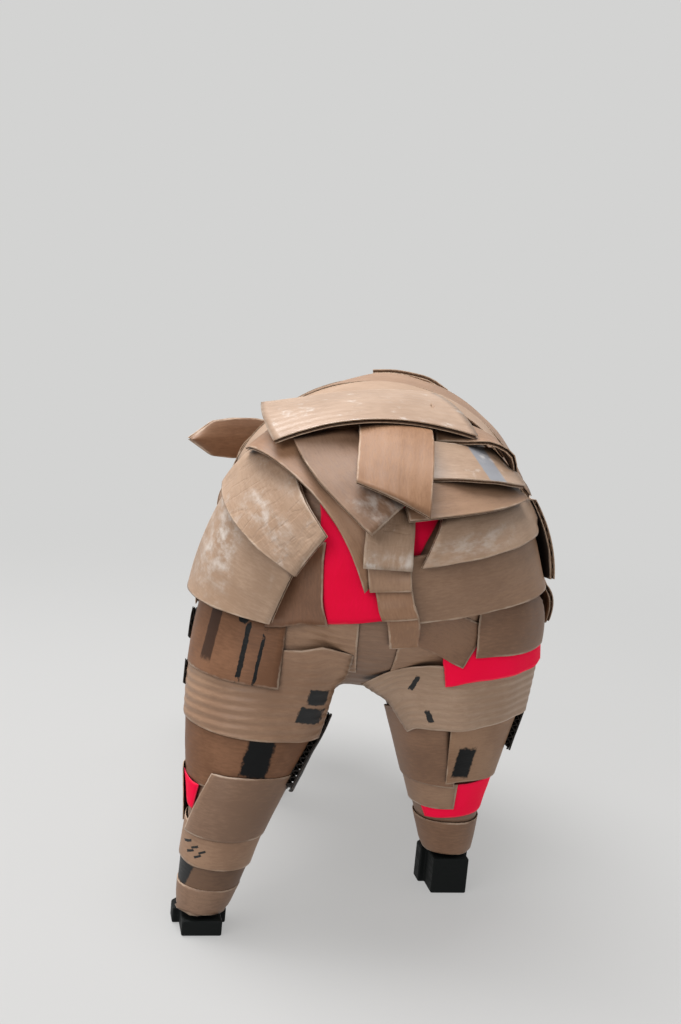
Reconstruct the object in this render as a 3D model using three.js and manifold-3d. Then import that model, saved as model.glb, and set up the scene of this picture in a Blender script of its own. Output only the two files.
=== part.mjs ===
// Pig sculpture built up from strips of corrugated cardboard, walking, with its head turned to its left.
// Millimetres. +Z is up and +Y is the way the pig walks, so +X is its right side.
// The origin lies on the floor, below the middle of the model.
import * as THREE from "three";
import { mergeVertices } from "three/addons/utils/BufferGeometryUtils.js";
import Module from "manifold-3d";

const wasm = await Module();
wasm.setup();

// Sheet stock: single-wall corrugated board, and thin card for the tight wraps
const boardThickness = 2.4;
const cardThickness = 0.8;

// How strips are laid: air kept below them, how far they are probed, and how they may tilt and climb
const restGap = 0.3;
const probeReach = 20;
const steepestTilt = 0.35;
const deepestBend = 0.4;
const steepestClimb = 0.5;
const segmentLength = 13;
const segmentTurn = 22;
const fewestSegments = 4;
const lengthSteps = 24;
const tangentReach = 7;
const slopeReach = 6;
const probesAcross = 9;
const probesBetween = 3;
const settleRounds = 3;
const settledHeight = 0.05;
const clearingRounds = 60;
const clearingStep = 0.3;
const clearVolume = 0.001;
const touchGap = 0.2;

// Torso: a rump dome, a straight back and a chest dome about an axis along Y
const torsoAxis = 186;
const rumpMiddle = 100;
const rumpDepth = 94;
const torsoHalfWidth = 83;
const torsoHalfHeight = 80;
const bellyFlatness = 0.93;
const torsoSides = 28;
const rumpRings = 7;
const chestRings = [
  { forward: 150, size: 1.04 },
  { forward: 195, size: 1.01 },
  { forward: 230, size: 0.87 },
  { forward: 254, size: 0.6 },
  { forward: 264, size: 0.4 },
];

// Head: rings along an axis that leaves the shoulders turned left and a little down
const neckRoot = new THREE.Vector3(0, 205, 196);
const headTurn = 33;
const headDip = 12;
const headSides = 20;
const headRings = [
  { along: 0, size: 64 },
  { along: 45, size: 60 },
  { along: 85, size: 52 },
  { along: 115, size: 42 },
  { along: 138, size: 29 },
  { along: 158, size: 25 },
];
const snoutLength = headRings.at(-1).along;
const snoutRadius = headRings.at(-1).size;
const nostrilRadius = 4;
const nostrilSpread = 9;
const nostrilSides = 12;

// Ears: pointed leaves that stand out sideways from the head
const earLength = 60;
const earWidth = 25;
const earPoint = 15;
const earTip = 0.08;
const earSeat = { angle: 36, along: 84 };
const earRoot = 8;

// Hooves: a narrow heel in front of which two toes spread, with a cleft between them
const hoofHeights = { hind_left: 8, hind_right: 20, front_left: 16, front_right: 16 };
const heelHalfWidth = 10;
const toeHalfWidth = 13.5;
const heelBack = 14;
const toeStart = 1;
const toeFront = 17;
const toeBevel = { across: 5, along: 6 };
const cleftHalfWidth = 2;
const cleftDepth = 9;
const hoofTurn = 12;

// Legs: rings from just above the hoof up into the torso
const legSides = 16;
const legs = {
  hind_left: [
    { height: hoofHeights.hind_left + restGap, x: -72, y: 18, halfWidth: 12.5, halfDepth: 14 },
    { height: 61, x: -62, y: 28, halfWidth: 21, halfDepth: 23 },
    { height: 109, x: -54, y: 52, halfWidth: 35.5, halfDepth: 39 },
    { height: 140, x: -47.5, y: 65, halfWidth: 42.5, halfDepth: 47 },
    { height: 172, x: -41, y: 78, halfWidth: 47, halfDepth: 52 },
  ],
  hind_right: [
    { height: hoofHeights.hind_right + restGap, x: 55, y: 97, halfWidth: 13.5, halfDepth: 15 },
    { height: 53, x: 51, y: 90, halfWidth: 19.5, halfDepth: 20 },
    { height: 114, x: 46, y: 78, halfWidth: 36, halfDepth: 38 },
    { height: 140, x: 44.5, y: 78, halfWidth: 43, halfDepth: 45 },
    { height: 172, x: 43, y: 82, halfWidth: 47, halfDepth: 52 },
  ],
  front_left: [
    { height: hoofHeights.front_left + restGap, x: -57, y: 212, halfWidth: 13, halfDepth: 14 },
    { height: 60, x: -54, y: 207, halfWidth: 18, halfDepth: 20 },
    { height: 110, x: -48, y: 203, halfWidth: 28, halfDepth: 32 },
    { height: 160, x: -42, y: 200, halfWidth: 36, halfDepth: 40 },
  ],
  front_right: [
    { height: hoofHeights.front_right + restGap, x: 58, y: 238, halfWidth: 13, halfDepth: 14 },
    { height: 60, x: 54, y: 222, halfWidth: 18, halfDepth: 20 },
    { height: 110, x: 48, y: 208, halfWidth: 28, halfDepth: 32 },
    { height: 160, x: 42, y: 202, halfWidth: 36, halfDepth: 40 },
  ],
};

// Tail: short pieces hung one below the other down the rump, each over the top of the next
const tailWidths = [23, 20, 17, 14];
const tailBreaks = [18, 5, -2, -9, -21];
const tailSwing = [2, 11];
const tailOverlap = 3;
const tailThickness = 1.6;

const colours = { kraft: 0x9c7b60, dark: 0x6f5542, red: 0xe8214f, black: 0x141614 };
const radians = THREE.MathUtils.degToRad;
const lerp = THREE.MathUtils.lerp;
const right = new THREE.Vector3(1, 0, 0);
const forward = new THREE.Vector3(0, 1, 0);
const up = new THREE.Vector3(0, 0, 1);
const headAxis = new THREE.Vector3(
  -Math.sin(radians(headTurn)) * Math.cos(radians(headDip)),
  Math.cos(radians(headTurn)) * Math.cos(radians(headDip)),
  -Math.sin(radians(headDip)),
);
const headRight = new THREE.Vector3().crossVectors(headAxis, up).normalize();
const headUp = new THREE.Vector3().crossVectors(headRight, headAxis).normalize();

// Closed meshes and joined solids
function closedMesh(points, faces) {
  let volume = 0;
  for (const [a, b, c] of faces) {
    volume += points[a].dot(new THREE.Vector3().crossVectors(points[b], points[c]));
  }
  const order = volume > 0 ? faces : faces.map(([a, b, c]) => [a, c, b]);
  const geometry = new THREE.BufferGeometry().setFromPoints(points);
  geometry.setIndex(order.flat());
  return geometry;
}

function loft(rings, sides) {
  const points = [];
  const faces = [];
  for (const ring of rings) {
    for (let side = 0; side < sides; side += 1) {
      const angle = (2 * Math.PI * side) / sides;
      const point = ring.centre.clone();
      point.addScaledVector(ring.across, Math.cos(angle));
      point.addScaledVector(ring.upward, Math.sin(angle) * (side > sides / 2 ? ring.below ?? 1 : 1));
      points.push(point);
    }
  }
  const first = points.push(rings[0].centre.clone()) - 1;
  const last = points.push(rings.at(-1).centre.clone()) - 1;
  const top = (rings.length - 1) * sides;
  for (let side = 0; side < sides; side += 1) {
    const next = (side + 1) % sides;
    for (let row = 0; row < top; row += sides) {
      faces.push([row + side, row + next, row + sides + next]);
      faces.push([row + side, row + sides + next, row + sides + side]);
    }
    faces.push([first, next, side]);
    faces.push([last, top + side, top + next]);
  }
  return closedMesh(points, faces);
}

function toSolid(geometry) {
  const bare = geometry.clone();
  bare.deleteAttribute("normal");
  bare.deleteAttribute("uv");
  const merged = mergeVertices(bare, 1e-4);
  return new wasm.Manifold(new wasm.Mesh({
    numProp: 3,
    vertProperties: new Float32Array(merged.attributes.position.array),
    triVerts: new Uint32Array(merged.index.array),
  }));
}

function toGeometry(solid) {
  const mesh = solid.getMesh();
  const geometry = new THREE.BufferGeometry();
  geometry.setAttribute("position", new THREE.BufferAttribute(mesh.vertProperties, 3));
  geometry.setIndex(new THREE.BufferAttribute(mesh.triVerts, 1));
  return geometry;
}

// The body: torso, head and legs as one piece
function torsoLoft() {
  const rings = [];
  const addRing = (y, size) => rings.push({
    centre: new THREE.Vector3(0, y, torsoAxis),
    across: right.clone().multiplyScalar(torsoHalfWidth * size),
    upward: up.clone().multiplyScalar(torsoHalfHeight * size),
    below: bellyFlatness,
  });
  for (let step = 1; step <= rumpRings; step += 1) {
    const angle = (Math.PI / 2) * (step / rumpRings);
    addRing(rumpMiddle - rumpDepth * Math.cos(angle), Math.sin(angle));
  }
  for (const ring of chestRings) {
    addRing(ring.forward, ring.size);
  }
  return loft(rings, torsoSides);
}

function headLoft(extra = 0) {
  const rings = headRings.map(({ along, size }) => ({
    centre: neckRoot.clone().addScaledVector(headAxis, along),
    across: headRight.clone().multiplyScalar(size + extra),
    upward: headUp.clone().multiplyScalar(size + extra),
  }));
  return loft(rings, headSides);
}

function legLoft(stations) {
  const rings = stations.map((station) => ({
    centre: new THREE.Vector3(station.x, station.y, station.height),
    across: right.clone().multiplyScalar(station.halfWidth),
    upward: forward.clone().multiplyScalar(station.halfDepth),
  }));
  return loft(rings, legSides);
}

function bodyGeometry() {
  let solid = toSolid(torsoLoft()).add(toSolid(headLoft()));
  for (const stations of Object.values(legs)) {
    solid = solid.add(toSolid(legLoft(stations)));
  }
  return toGeometry(solid);
}

// Charts: two coordinates give a line that leaves an axis inside the body
function rumpChart(azimuth, elevation) {
  const flat = Math.cos(radians(elevation));
  return {
    target: new THREE.Vector3(0, rumpMiddle, torsoAxis),
    outward: new THREE.Vector3(
      Math.sin(radians(azimuth)) * flat,
      -Math.cos(radians(azimuth)) * flat,
      Math.sin(radians(elevation)),
    ),
  };
}

function backChart(angle, along) {
  return {
    target: new THREE.Vector3(0, along, torsoAxis),
    outward: new THREE.Vector3(Math.sin(radians(angle)), 0, Math.cos(radians(angle))),
  };
}

function headChart(angle, along) {
  const outward = headUp.clone().multiplyScalar(Math.cos(radians(angle)));
  outward.addScaledVector(headRight, Math.sin(radians(angle)));
  return { target: neckRoot.clone().addScaledVector(headAxis, along), outward };
}

function legChart(name) {
  const stations = legs[name];
  return (azimuth, height) => {
    const upper = Math.max(1, stations.findIndex((station) => station.height > height));
    const above = stations[upper];
    const below = stations[upper - 1];
    const part = (height - below.height) / (above.height - below.height);
    return {
      target: new THREE.Vector3(lerp(below.x, above.x, part), lerp(below.y, above.y, part), height),
      outward: new THREE.Vector3(Math.sin(radians(azimuth)), -Math.cos(radians(azimuth)), 0),
    };
  };
}

const charts = {
  rump: rumpChart,
  back: backChart,
  head: headChart,
  hindLeft: legChart("hind_left"),
  hindRight: legChart("hind_right"),
  frontLeft: legChart("front_left"),
  frontRight: legChart("front_right"),
};

// Probing what is already laid
const pile = [];
const solids = [];
const caster = new THREE.Raycaster();

function touch(chart, a, b) {
  const { target, outward } = charts[chart](a, b);
  caster.set(target, outward);
  caster.far = Infinity;
  return caster.intersectObject(form, false)[0].point;
}

// A strip follows a path over the form, and its cross-section bends about its middle line
function stripPath(row) {
  const bow = row.bow ?? [0, 0];
  const seat = (part) => [0, 1].map((axis) => (
    lerp(row.from[axis], row.to[axis], part) + 4 * part * (1 - part) * bow[axis]
  ));
  const at = (part) => touch(row.chart, ...seat(part));
  let length = 0;
  for (let step = 0; step < lengthSteps; step += 1) {
    length += at(step / lengthSteps).distanceTo(at((step + 1) / lengthSteps));
  }
  const reach = tangentReach / length;
  const frameAt = (part) => {
    const point = at(part);
    const along = at(part + reach).sub(at(part - reach)).normalize();
    const { outward } = charts[row.chart](...seat(part));
    const sideways = new THREE.Vector3().crossVectors(outward, along).normalize();
    const near = touchNear(point, sideways, slopeReach, outward);
    const far = touchNear(point, sideways, -slopeReach, outward);
    const across = near.sub(far).normalize();
    const normal = new THREE.Vector3().crossVectors(along, across).normalize();
    return { point, across: new THREE.Vector3().crossVectors(normal, along).normalize(), normal };
  };
  return { length, frameAt };
}

function touchNear(point, sideways, offset, outward) {
  const start = point.clone().addScaledVector(sideways, offset).addScaledVector(outward, probeReach);
  caster.set(start, outward.clone().negate());
  caster.far = 2 * probeReach;
  const hit = caster.intersectObject(form, false)[0];
  return hit ? hit.point : point.clone().addScaledVector(sideways, offset);
}

function layStrip(row) {
  const { length, frameAt } = stripPath(row);
  const widths = Array.isArray(row.width) ? row.width : [row.width, row.width];
  const [startCut, endCut] = row.cut ?? [0, 0];
  const turn = Math.abs(row.to[0] - row.from[0]);
  const segments = Math.ceil(Math.max(fewestSegments, length / segmentLength, turn / segmentTurn));
  const stations = [];
  for (let step = 0; step <= segments; step += 1) {
    const part = step / segments;
    const lead = lerp(startCut, endCut, part) / 2 / length;
    const half = lerp(widths[0], widths[1], part) / 2;
    const leftFrame = frameAt(part - lead);
    const rightFrame = frameAt(part + lead);
    const normal = leftFrame.normal.clone().add(rightFrame.normal).normalize();
    const points = [bentEdge(leftFrame, -half), frameAt(part).point, bentEdge(rightFrame, half)];
    stations.push({ points, normal, lift: [restGap, restGap] });
  }
  settle(stations, length / segments, row.reach ?? probeReach);
  clearPile(stations, row.thickness);
  return plate(stations, row.thickness);
}

function bentEdge({ point, across, normal }, offset) {
  const flat = point.clone().addScaledVector(across, offset);
  const drop = touchNear(point, across, offset, normal).sub(flat).dot(normal);
  const limit = deepestBend * Math.abs(offset);
  return flat.addScaledVector(normal, THREE.MathUtils.clamp(drop, -limit, 0));
}

function acrossPoint(station, side) {
  const half = side < 0.5 ? 0 : 1;
  const point = station.points[half].clone().lerp(station.points[half + 1], 2 * side - half);
  return point.addScaledVector(station.normal, lerp(station.lift[0], station.lift[1], side));
}

function missingHeight(point, normal, reach) {
  caster.set(point.clone().addScaledVector(normal, reach), normal.clone().negate());
  caster.far = reach + probeReach;
  const hit = caster.intersectObjects(pile, false)[0];
  return hit ? reach - hit.distance + restGap : -Infinity;
}

// Each line across first rests on the highest things below it, tilting as far as a stiff sheet would
function restLine(station, reach) {
  const heights = [];
  for (let probe = 0; probe < probesAcross; probe += 1) {
    const side = probe / (probesAcross - 1);
    heights.push([side - 0.5, missingHeight(acrossPoint(station, side), station.normal, reach)]);
  }
  const width = station.points[0].distanceTo(station.points[2]);
  const limit = steepestTilt * width;
  let best = null;
  for (const [sideA, heightA] of heights.filter(([side, height]) => side <= 0 && height > -Infinity)) {
    for (const [sideB, heightB] of heights.filter(([side, height]) => side > 0 && height > -Infinity)) {
      const tilt = THREE.MathUtils.clamp((heightB - heightA) / (sideB - sideA), -limit, limit);
      const middle = Math.max(...heights.map(([side, height]) => height - tilt * side));
      if (best === null || middle < best.middle) {
        best = { middle, tilt };
      }
    }
  }
  if (best !== null) {
    station.lift[0] += best.middle - best.tilt / 2;
    station.lift[1] += best.middle + best.tilt / 2;
  }
}

// Then neighbours are pulled up so that no stretch climbs too steeply or dips into the pile
function settle(stations, spacing, reach) {
  stations.forEach((station) => restLine(station, reach));
  for (let round = 0; round < settleRounds; round += 1) {
    for (const edge of [0, 1]) {
      const lifts = stations.map((station) => station.lift[edge]);
      stations.forEach((station, here) => {
        const pulls = lifts.map((lift, there) => lift - steepestClimb * spacing * Math.abs(here - there));
        station.lift[edge] = Math.max(...pulls);
      });
    }
    let worst = 0;
    for (let step = 0; step + 1 < stations.length; step += 1) {
      const [one, two] = [stations[step], stations[step + 1]];
      let missing = 0;
      for (let between = 0; between <= probesBetween; between += 1) {
        const part = between / probesBetween;
        const normal = one.normal.clone().lerp(two.normal, part).normalize();
        for (let probe = 0; probe < probesAcross; probe += 1) {
          const side = probe / (probesAcross - 1);
          const point = acrossPoint(one, side).lerp(acrossPoint(two, side), part);
          missing = Math.max(missing, missingHeight(point, normal, reach));
        }
      }
      if (missing > settledHeight) {
        for (const station of [one, two]) {
          station.lift = station.lift.map((lift) => lift + missing);
        }
      }
      worst = Math.max(worst, missing);
    }
    if (worst <= settledHeight) {
      break;
    }
  }
}

// Last, whatever still cuts into the pile is raised a little at a time
function clearPile(stations, thickness) {
  for (let round = 0; round < clearingRounds; round += 1) {
    const solid = toSolid(plate(stations, thickness, touchGap));
    const commons = solids.map((lower) => lower.intersect(solid));
    const clashes = commons.filter((common) => common.volume() > clearVolume);
    if (clashes.length === 0) {
      return;
    }
    const raised = new Set();
    for (const common of clashes) {
      const { min, max } = common.boundingBox();
      const box = new THREE.Box3(new THREE.Vector3(...min), new THREE.Vector3(...max));
      const distances = stations.map((station) => box.distanceToPoint(acrossPoint(station, 0.5)));
      const nearest = Math.min(...distances);
      distances.forEach((distance, index) => distance < nearest + segmentLength / 2 && raised.add(index));
    }
    for (const index of raised) {
      stations[index].lift = stations[index].lift.map((lift) => lift + clearingStep);
    }
  }
}

function plate(stations, thickness, sunk = 0) {
  const points = [];
  const faces = [];
  for (const station of stations) {
    const line = [0, 0.5, 1].map((side) => acrossPoint(station, side));
    const inner = line.map((point) => point.clone().addScaledVector(station.normal, -sunk));
    const outer = line.map((point) => point.clone().addScaledVector(station.normal, thickness));
    points.push(...inner, ...outer.reverse());
  }
  const corners = 6;
  const end = corners * (stations.length - 1);
  for (let row = 0; row < end; row += corners) {
    for (let corner = 0; corner < corners; corner += 1) {
      const next = (corner + 1) % corners;
      faces.push([row + corner, row + next, row + corners + next]);
      faces.push([row + corner, row + corners + next, row + corners + corner]);
    }
  }
  for (const [a, b, c] of [[0, 1, 4], [0, 4, 5], [1, 2, 3], [1, 3, 4]]) {
    faces.push([c, b, a], [end + a, end + b, end + c]);
  }
  return closedMesh(points, faces);
}

function addMesh(name, geometry, colour) {
  const material = new THREE.MeshStandardMaterial({ color: colour, roughness: 0.9, metalness: 0 });
  material.side = THREE.DoubleSide;
  const mesh = new THREE.Mesh(geometry, material);
  mesh.name = name;
  pile.push(mesh);
  solids.push(toSolid(geometry));
  pig.add(mesh);
  return mesh;
}

const pig = new THREE.Group();
const form = addMesh("body", bodyGeometry(), colours.dark);

// Hooves
function hoofGeometry(height) {
  const outline = new THREE.Shape();
  outline.moveTo(-heelHalfWidth, -heelBack);
  outline.lineTo(heelHalfWidth, -heelBack);
  outline.lineTo(heelHalfWidth, toeStart);
  outline.lineTo(toeHalfWidth, toeStart);
  outline.lineTo(toeHalfWidth, toeFront - toeBevel.along);
  outline.lineTo(toeHalfWidth - toeBevel.across, toeFront);
  outline.lineTo(cleftHalfWidth, toeFront);
  outline.lineTo(cleftHalfWidth, toeFront - cleftDepth);
  outline.lineTo(-cleftHalfWidth, toeFront - cleftDepth);
  outline.lineTo(-cleftHalfWidth, toeFront);
  outline.lineTo(-toeHalfWidth + toeBevel.across, toeFront);
  outline.lineTo(-toeHalfWidth, toeFront - toeBevel.along);
  outline.lineTo(-toeHalfWidth, toeStart);
  outline.lineTo(-heelHalfWidth, toeStart);
  outline.closePath();
  return new THREE.ExtrudeGeometry(outline, { depth: height, bevelEnabled: false });
}

for (const [name, stations] of Object.entries(legs)) {
  const geometry = hoofGeometry(hoofHeights[name]);
  geometry.rotateZ(radians(hoofTurn));
  geometry.translate(stations[0].x, stations[0].y, 0);
  addMesh(`hoof_${name}`, toGeometry(toSolid(geometry)), colours.black);
}

// Strips, in the order in which they are laid
function board(name, chart, from, to, width, more = {}) {
  return { name, chart, from, to, width, thickness: boardThickness, ...more };
}

function thin(name, chart, from, to, width, more = {}) {
  return { name, chart, from, to, width, thickness: cardThickness, ...more };
}

function tailRows() {
  const swing = (part) => lerp(...tailSwing, part ** 2);
  const pieces = tailWidths.map((width, index) => board(
    `tail_piece_${index + 1}`,
    "rump",
    [swing(index / tailWidths.length), tailBreaks[index] + tailOverlap],
    [swing((index + 1) / tailWidths.length), tailBreaks[index + 1]],
    [width + 1, width],
    { thickness: tailThickness },
  ));
  return pieces.reverse();
}

const tight = { reach: 8 };
const red = { colour: "red" };
const rows = [
  thin("shin_left_low_band", "hindLeft", [-166, 29], [166, 29], 18),
  thin("cuff_left_hind", "hindLeft", [-164, 16.5], [164, 16.5], 15),
  thin("shin_left_marked_band", "hindLeft", [-168, 47], [168, 42], 19),
  thin("knee_left_printed_band", "hindLeft", [-150, 92], [150, 87], 32, tight),
  thin("red_patch_left_knee", "hindLeft", [-88, 70], [-44, 68], 13, red),
  thin("knee_left_lower_band", "hindLeft", [-40, 66], [272, 64], [33, 28], { cut: [14, 0], ...tight }),
  board("knee_left_edge_strip", "hindLeft", [88, 106], [82, 72], 18, { colour: "dark", ...tight }),
  thin("thigh_left_ribbed_sheet", "hindLeft", [-105, 119], [50, 123], [32, 50], tight),
  thin("thigh_left_printed_panel", "hindLeft", [-80, 146], [6, 142], [40, 33], tight),
  thin("cuff_right_hind", "hindRight", [-166, 33], [166, 33], 23),
  thin("red_band_right_hock", "hindRight", [-45, 57], [80, 63], 24, red),
  thin("hock_right_light_band", "hindRight", [-160, 59], [10, 63], 18, tight),
  thin("shin_right_inner_panel", "hindRight", [-115, 83], [0, 94], [32, 56], tight),
  thin("shin_right_printed_panel", "hindRight", [-2, 94], [150, 96], 46),
  board("thigh_right_edge_strip", "hindRight", [86, 116], [84, 90], 14, { colour: "dark" }),
  thin("thigh_right_ribbed_sheet", "hindRight", [-48, 121], [94, 131], [40, 34], tight),
  thin("red_band_right_thigh", "hindRight", [-8, 143], [80, 150], 21, red),
  thin("hip_right_dark_strip", "rump", [4, -9], [38, -22], 24),
  thin("hip_right_panel", "rump", [37, -15], [69, -13], 30),
  thin("red_sheet_rump", "rump", [-1, 26], [-6, -14], [62, 29], { cut: [0, -11], ...red }),
  thin("rump_left_inner_panel", "rump", [-25, 9], [-24, -17], 31),
  board("flank_left_low_strip", "back", [-107, 76], [-99, 205], [18, 32]),
  board("rump_left_lower_strip", "rump", [-74, 2], [-26, -7.5], [55, 29], { cut: [0, 5] }),
  board("rump_left_scuffed_strip", "rump", [-63, 33], [-18, 5], [52, 25]),
  board("rump_right_lower_strip", "rump", [8, -2], [74, 7], 33),
  board("rump_right_middle_strip", "rump", [15, 13], [70, 23], 27, { cut: [18, 0] }),
  board("flank_right_low_strip", "back", [102, 78], [102, 205], [20, 26]),
  board("flank_right_high_strip", "back", [79, 74], [84, 202], [42, 30]),
  board("rump_left_diagonal_strip", "rump", [-62, 39], [2, 4], 25, { bow: [8, 9], cut: [0, -14] }),
  ...tailRows(),
  board("rump_right_upper_strip", "rump", [6, 22], [56, 30], 20),
  board("tail_head_diagonal_strip", "rump", [-27, 43], [3, 18], 32),
  board("rump_right_taped_strip", "rump", [10, 39], [58, 36], 27),
  board("shoulder_right_back_strip", "back", [27, 67], [60, 82], 28),
  board("belly_strip", "back", [180, 110], [180, 196], 44),
  board("shoulder_left_strip", "frontLeft", [-140, 130], [-25, 130], 42),
  board("shoulder_right_strip", "frontRight", [25, 130], [140, 130], 42),
  thin("leg_wrap_front_left", "frontLeft", [-170, 84], [600, 26], 23, tight),
  thin("leg_wrap_front_right", "frontRight", [170, 84], [-600, 26], 23, tight),
  thin("snout_band", "head", [-168, 146], [168, 146], 20),
  board("forehead_strip", "head", [0, 74], [0, 132], 34),
  board("neck_hoop", "head", [-100, 58], [100, 58], 32),
  board("back_hoop_front", "back", [-74, 198], [74, 194], 36),
  board("back_hoop_middle", "back", [-74, 159], [66, 160], 38),
  board("back_hoop_rear", "back", [-66, 121], [50, 122], 38),
  board("withers_strip", "back", [-4, 214], [26, 208], 34),
  board("tail_head_patch", "rump", [3, 57], [2, 20.5], 36, { cut: [0, 13] }),
  board("saddle_strip", "back", [-44, 58], [27, 74], 37, { bow: [0, -8], cut: [-8, 0] }),
];
for (const row of rows) {
  addMesh(row.name, layStrip(row), colours[row.colour ?? "kraft"]);
}

// Ears and snout end
function earGeometry(side) {
  const along = headRight.clone().multiplyScalar(side);
  const root = touch("head", side * earSeat.angle, earSeat.along).addScaledVector(along, -earRoot);
  const normal = new THREE.Vector3().crossVectors(along, up).multiplyScalar(side).negate();
  const shape = [
    [0, 0.7],
    [0.3, 1],
    [1 - earPoint / earLength, 1],
    [1, earTip],
  ];
  const stations = shape.map(([part, size]) => {
    const middle = root.clone().addScaledVector(along, part * earLength);
    const half = (size * earWidth) / 2;
    const points = [-half, 0, half].map((offset) => middle.clone().addScaledVector(up, offset));
    return { points, normal, lift: [0, 0] };
  });
  return toGeometry(toSolid(plate(stations, boardThickness)).subtract(toSolid(headLoft(restGap))));
}

function snoutGeometry() {
  const turned = new THREE.Quaternion().setFromUnitVectors(forward, headAxis);
  const centre = neckRoot.clone().addScaledVector(headAxis, snoutLength + restGap + boardThickness / 2);
  let solid = toSolid(new THREE.CylinderGeometry(snoutRadius, snoutRadius, boardThickness, headSides));
  for (const side of [-1, 1]) {
    const hole = new THREE.CylinderGeometry(nostrilRadius, nostrilRadius, 2 * boardThickness, nostrilSides);
    hole.translate(side * nostrilSpread, 0, 0);
    solid = solid.subtract(toSolid(hole));
  }
  const geometry = toGeometry(solid);
  geometry.applyQuaternion(turned);
  geometry.translate(...centre.toArray());
  return geometry;
}

addMesh("ear_left", earGeometry(-1), colours.kraft);
addMesh("ear_right", earGeometry(1), colours.kraft);
addMesh("snout_disc", snoutGeometry(), colours.kraft);

// The origin goes below the middle of the whole model
const box = new THREE.Box3().setFromObject(pig);
const middle = box.getCenter(new THREE.Vector3());
pig.position.set(-middle.x, -middle.y, -box.min.z);

export default pig;
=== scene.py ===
import math

import bmesh
import bpy
import numpy as np
from mathutils import Matrix, Vector, noise
from mathutils.bvhtree import BVHTree


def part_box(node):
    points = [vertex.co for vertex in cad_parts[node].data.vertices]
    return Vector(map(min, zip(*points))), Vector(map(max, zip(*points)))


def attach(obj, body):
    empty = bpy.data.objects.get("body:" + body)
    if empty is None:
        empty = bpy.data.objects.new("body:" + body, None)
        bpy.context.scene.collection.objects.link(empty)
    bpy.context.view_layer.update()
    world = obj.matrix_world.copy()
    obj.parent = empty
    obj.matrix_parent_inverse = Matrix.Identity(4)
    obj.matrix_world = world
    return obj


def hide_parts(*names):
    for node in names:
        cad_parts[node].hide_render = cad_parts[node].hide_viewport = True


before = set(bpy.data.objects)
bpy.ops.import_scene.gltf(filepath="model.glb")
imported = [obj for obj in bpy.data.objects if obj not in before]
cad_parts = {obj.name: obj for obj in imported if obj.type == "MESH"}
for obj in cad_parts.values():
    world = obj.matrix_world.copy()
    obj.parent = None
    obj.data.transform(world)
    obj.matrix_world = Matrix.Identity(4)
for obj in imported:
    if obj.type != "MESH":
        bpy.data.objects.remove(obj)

for leftover in ("Cube", "Light", "Camera"):
    if leftover in bpy.data.objects:
        bpy.data.objects.remove(bpy.data.objects[leftover])
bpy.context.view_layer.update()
print("frame loaded,", len(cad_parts), "nodes")

# camera behind the pig, a little above it and rolled as in the photograph
cameraView = {
    "lens": 50.0, "sensor": 36.0, "dip": 9.0, "roll": 5.4,
    "fromHoof": (-0.074153, -0.753711, 0.3122),
}


def boxMiddle(node):
    low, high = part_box(node)
    return (low + high) / 2


def makeCamera():
    dip, roll = math.radians(cameraView["dip"]), math.radians(cameraView["roll"])
    side = Vector((1, 0, 0))
    ahead = Vector((0, math.cos(dip), -math.sin(dip)))
    below = Vector((0, -math.sin(dip), -math.cos(dip)))
    across = side * math.cos(roll) - below * math.sin(roll)
    upward = -(side * math.sin(roll) + below * math.cos(roll))
    data = bpy.data.cameras.new("photoCamera")
    data.lens = cameraView["lens"]
    data.sensor_width = cameraView["sensor"]
    camera = bpy.data.objects.new("photoCamera", data)
    place = Matrix.Translation(boxMiddle("hoof_hind_right") + Vector(cameraView["fromHoof"]))
    camera.matrix_world = place @ Matrix((across, upward, -ahead)).transposed().to_4x4()
    bpy.context.scene.collection.objects.link(camera)
    bpy.context.scene.camera = camera


makeCamera()
print("camera set")


# shader helpers
def tint(red, green, blue):
    def straight(value):
        value /= 255
        return value / 12.92 if value <= 0.04045 else ((value + 0.055) / 1.055) ** 2.4
    return (straight(red), straight(green), straight(blue), 1.0)


def plug(tree, value, socket):
    if isinstance(value, bpy.types.NodeSocket):
        tree.links.new(value, socket)
    else:
        socket.default_value = value


def addNode(tree, kind, values):
    node = tree.nodes.new(kind)
    for label, value in values.items():
        plug(tree, value, node.inputs[label])
    return node


def calc(tree, operation, *values):
    node = tree.nodes.new("ShaderNodeMath")
    node.operation = operation
    for value, socket in zip(values, node.inputs):
        plug(tree, value, socket)
    return node.outputs[0]


def grain(tree, vector, scale, detail=3.0, rough=0.55, stretch=(1, 1, 1)):
    place = addNode(tree, "ShaderNodeMapping", {"Vector": vector, "Scale": stretch}).outputs[0]
    return addNode(tree, "ShaderNodeTexNoise", {
        "Vector": place, "Scale": scale, "Detail": detail, "Roughness": rough}).outputs["Fac"]


def between(tree, value, low, high, outLow=0.0, outHigh=1.0):
    node = addNode(tree, "ShaderNodeMapRange", {
        "Value": value, "From Min": low, "From Max": high, "To Min": outLow, "To Max": outHigh})
    node.interpolation_type = "SMOOTHSTEP"
    return node.outputs["Result"]


def blend(tree, amount, first, second):
    node = tree.nodes.new("ShaderNodeMix")
    node.data_type = "RGBA"
    plug(tree, amount, node.inputs["Factor"])
    plug(tree, first, node.inputs["A"])
    plug(tree, second, node.inputs["B"])
    return [socket for socket in node.outputs if socket.type == "RGBA"][0]


def layer(tree, amount, mask, colour, top):
    # one colour over another, where the mask is
    return blend(tree, calc(tree, "MULTIPLY", mask, amount), colour, top)


def parts(tree, vector):
    return addNode(tree, "ShaderNodeSeparateXYZ", {"Vector": vector}).outputs[:]


def newMaterial(name):
    material = bpy.data.materials.new(name)
    material.use_nodes = True
    tree = material.node_tree
    tree.nodes.clear()
    shader = tree.nodes.new("ShaderNodeBsdfPrincipled")
    result = tree.nodes.new("ShaderNodeOutputMaterial")
    plug(tree, shader.outputs["BSDF"], result.inputs["Surface"])
    return material, tree, shader


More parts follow.
